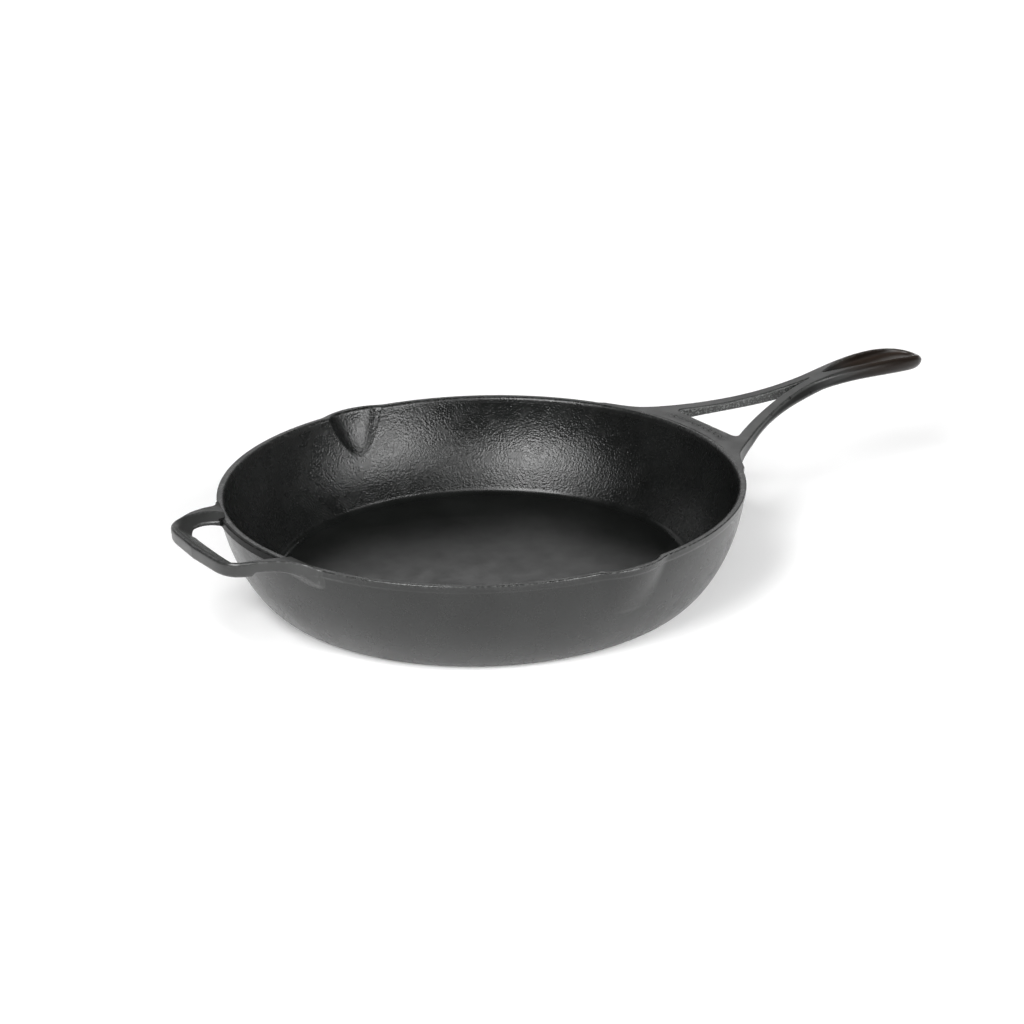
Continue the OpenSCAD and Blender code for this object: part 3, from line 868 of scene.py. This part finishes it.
def iron(name, color, roughness, warm=None):
    """Seasoned cast iron: near-black and glossy, with a fine grain, pebbles, rough patches, edges lighter where the
    seasoning is rubbed thin and as a painted highlight, and painted shade that darkens its dull places.

    warm gives the two places along X between which it turns brown, and the brown.
    """
    material = bpy.data.materials.new(name)
    material.use_nodes = True
    nodes, links = material.node_tree.nodes, material.node_tree.links
    nodes.clear()
    out = nodes.new("ShaderNodeOutputMaterial")
    shader = nodes.new("ShaderNodeBsdfPrincipled")
    links.new(shader.outputs[0], out.inputs[0])
    where = nodes.new("ShaderNodeTexCoord").outputs["Object"]

    def noise(scale, detail, roughness=0.5):
        node = nodes.new("ShaderNodeTexNoise")
        node.inputs["Scale"].default_value = scale
        node.inputs["Detail"].default_value = detail
        node.inputs["Roughness"].default_value = roughness
        links.new(where, node.inputs["Vector"])
        return node.outputs["Fac"]

    def span(value, a, b, c, d):
        node = nodes.new("ShaderNodeMapRange")
        for key, v in zip(("From Min", "From Max", "To Min", "To Max"), (a, b, c, d)):
            node.inputs[key].default_value = v
        links.new(value, node.inputs["Value"])
        return node.outputs["Result"]

    def mix(factor, a, b):
        node = nodes.new("ShaderNodeMix")
        node.data_type = "RGBA"
        links.new(factor, node.inputs["Factor"])
        for value, socket in ((a, node.inputs[6]), (b, node.inputs[7])):
            if isinstance(value, tuple):
                socket.default_value = (*value, 1)
            else:
                links.new(value, socket)
        return node.outputs[2]

    def calc(operation, a, b):
        node = nodes.new("ShaderNodeMath")
        node.operation = operation
        for value, socket in ((a, node.inputs[0]), (b, node.inputs[1])):
            if isinstance(value, (int, float)):
                socket.default_value = value
            else:
                links.new(value, socket)
        return node.outputs[0]

    def attribute(key):
        node = nodes.new("ShaderNodeAttribute")
        node.attribute_name = key
        return node.outputs["Fac"]

    wear_and_highlight, pebble, rough = attribute("edge_wear"), attribute("pebble"), attribute("rough")
    slow, grain = noise(34, 3), noise(1500, 2)
    pebbles, cast = noise(860, 1.2, 0.5), noise(900, 3, 0.7)

    tone = mix(span(slow, 0.35, 0.65, 0, 1), tuple(c * 0.75 for c in color), tuple(c * 1.3 for c in color))
    if warm:
        low, high, brown = warm
        split = nodes.new("ShaderNodeSeparateXYZ")
        links.new(where, split.inputs[0])
        tone = mix(span(split.outputs["X"], low, high, 0, 0.85), tone, brown)
    specks = calc("MULTIPLY", rough, span(cast, 0.50, 0.62, 0, 1))
    tone = mix(specks, tone, CAST)
    # edges lighter in colour: partly seasoning rubbed thin, partly a painted highlight
    worn_and_highlight = calc("MULTIPLY", wear_and_highlight, span(noise(640, 3, 0.65), 0.46, 0.62, 0.0, 1.0))
    tone = mix(calc("MULTIPLY", worn_and_highlight, 0.6), tone, WORN_AND_HIGHLIGHT)
    # painted shade: this mask darkens the colour towards black, and below it also cuts the shine
    matte = attribute("matte")
    tone = mix(span(matte, 0, 1, 0, 0.75), tone, (0.0, 0.0, 0.0))
    links.new(tone, shader.inputs["Base Color"])

    gloss = span(noise(80, 3), 0.3, 0.7, roughness - GLOSS_SPREAD, roughness + GLOSS_SPREAD)
    gloss = calc("SUBTRACT", gloss, calc("MULTIPLY", worn_and_highlight, 0.10))
    gloss = calc("ADD", gloss, calc("MULTIPLY", rough, 0.06))
    links.new(gloss, shader.inputs["Roughness"])
    links.new(span(matte, 0, 1, 0.5, 0.06), shader.inputs["Specular IOR Level"])

    height = calc("MULTIPLY", grain, GRAIN_DEPTH)
    height = calc("ADD", height, calc("MULTIPLY", calc("MULTIPLY", pebbles, pebble), PEBBLE_DEPTH))
    height = calc("ADD", height, calc("MULTIPLY", calc("MULTIPLY", cast, rough), CAST_DEPTH))
    bump = nodes.new("ShaderNodeBump")
    bump.inputs["Distance"].default_value = 1.0
    links.new(height, bump.inputs["Height"])
    links.new(bump.outputs[0], shader.inputs["Normal"])
    return material


looks = {
    "pan_floor": iron("iron_cooking_floor", (0.0050, 0.0054, 0.0051), 0.34),
    "pan_wall": iron("iron_wall", (0.0050, 0.0055, 0.0052), 0.27),
    "rim_lip": iron("iron_lip", (0.0070, 0.0074, 0.0071), 0.30),
    "pour_spout": iron("iron_spout", (0.0050, 0.0055, 0.0052), 0.27),
    # the handle, its pips and the helper loop get a lighter copy of the pan's iron: painted light, brightening those
    # parts of the one casting
    "handle_grip": iron("iron_grip", (0.0190, 0.0194, 0.0188), 0.32, warm=(0.262, 0.290, (0.022, 0.015, 0.011))),
    "handle": iron("iron_handle", (0.0210, 0.0216, 0.0210), 0.32),
    "yoke": iron("iron_pips", (0.0210, 0.0216, 0.0210), 0.32),
    "helper": iron("iron_helper", (0.0210, 0.0216, 0.0210), 0.32),
}
for piece in pieces:
    start = next(key for key in looks if piece.name.startswith(key))
    piece.data.materials.append(looks[start])

# ---------------------------------------------------------------- camera
AZIMUTH = math.radians(-31.85)
ELEVATION = math.radians(21.06)
DISTANCE = 1.414
ROLL = math.radians(1.51)
LOOK_RIGHT = math.radians(0.70)
LOOK_DOWN = math.radians(0.75)
LENS = 85.2
rim_centre = Vector((0, 0, PAN_H * MM))
back = Vector((
    math.sin(AZIMUTH) * math.cos(ELEVATION),
    -math.cos(AZIMUTH) * math.cos(ELEVATION),
    math.sin(ELEVATION),
))
right = Vector((math.cos(AZIMUTH), math.sin(AZIMUTH), 0))
up = back.cross(right)
base = Matrix((right, up, back)).transposed()
turned = base @ Matrix.Rotation(-LOOK_RIGHT, 3, "Y")
turned = turned @ Matrix.Rotation(-LOOK_DOWN, 3, "X") @ Matrix.Rotation(-ROLL, 3, "Z")
camera_data = bpy.data.cameras.new("camera")
camera_data.lens = LENS
camera_data.sensor_width = 36.0
camera_data.clip_end = 30
camera = bpy.data.objects.new("camera", camera_data)
bpy.context.scene.collection.objects.link(camera)
camera.matrix_world = Matrix.Translation(rim_centre + back * DISTANCE) @ turned.to_4x4()
bpy.context.scene.camera = camera


# ---------------------------------------------------------------- floor and lights
def toward(along, forward, height):
    """A place given in the camera's own directions over the floor."""
    ahead = Vector((-back.x, -back.y, 0)).normalized()
    return right * along + ahead * forward + Vector((0, 0, height))


def softbox(name, place, size, power, aim=(0, 0, 0.04)):
    """A rectangular area light, aimed at the middle of the pan unless told otherwise."""
    data = bpy.data.lights.new(name, "AREA")
    data.shape = "RECTANGLE"
    data.size, data.size_y = size
    data.energy = power
    light = bpy.data.objects.new(name, data)
    bpy.context.scene.collection.objects.link(light)
    light.location = place
    light.rotation_euler = (place - Vector(aim)).to_track_quat("Z", "Y").to_euler()
    return light


floor_mesh = bpy.data.meshes.new("studio_floor")
floor_mesh.from_pydata([(-4, -4, 0), (4, -4, 0), (4, 4, 0), (-4, 4, 0)], [], [(0, 1, 2, 3)])
floor = bpy.data.objects.new("studio_floor", floor_mesh)
bpy.context.scene.collection.objects.link(floor)
paper = bpy.data.materials.new("studio_paper")
paper.use_nodes = True
paper_shader = paper.node_tree.nodes["Principled BSDF"]
paper_shader.inputs["Base Color"].default_value = (0.9, 0.9, 0.9, 1)
paper_shader.inputs["Roughness"].default_value = 0.9
paper_shader.inputs["Emission Color"].default_value = (1, 1, 1, 1)
paper_shader.inputs["Emission Strength"].default_value = 0.15
floor_mesh.materials.append(paper)


def around(azimuth, elevation, distance=1.8):
    """A place over the pan: azimuth 0 is behind it, 90 to the right and 180 on the camera's side."""
    a, e = math.radians(azimuth), math.radians(elevation)
    flat = math.cos(e) * distance
    return toward(math.sin(a) * flat, math.cos(a) * flat, math.sin(e) * distance)


softbox("right_low", around(135, 12), (0.9, 0.6), 20)
softbox("right", around(120, 32), (0.9, 0.6), 13)
softbox("right_front", around(145, 32), (0.7, 0.6), 5)
softbox("left", around(212, 36), (0.7, 0.6), 22)
softbox("left_high", around(222, 58), (0.8, 0.6), 15)
softbox("front_high", around(180, 55), (0.9, 0.6), 5)
softbox("behind", around(0, 27), (1.2, 0.5), 2.6)
softbox("behind_left", around(322, 24), (0.9, 0.5), 1.0)
# wash over the floor far behind the pan, which it does not reach
wash = softbox("back_wash", toward(0, 2.7, 1.5), (3.6, 1.2), 120, aim=toward(0, 2.1, 0))
wash.data.spread = math.radians(60)
world = bpy.data.worlds.new("studio")
world.use_nodes = True
world.node_tree.nodes["Background"].inputs["Color"].default_value = (0.012, 0.012, 0.012, 1)
world.node_tree.nodes["Background"].inputs["Strength"].default_value = 1.0
bpy.context.scene.world = world
bpy.context.scene.view_settings.view_transform = "Standard"
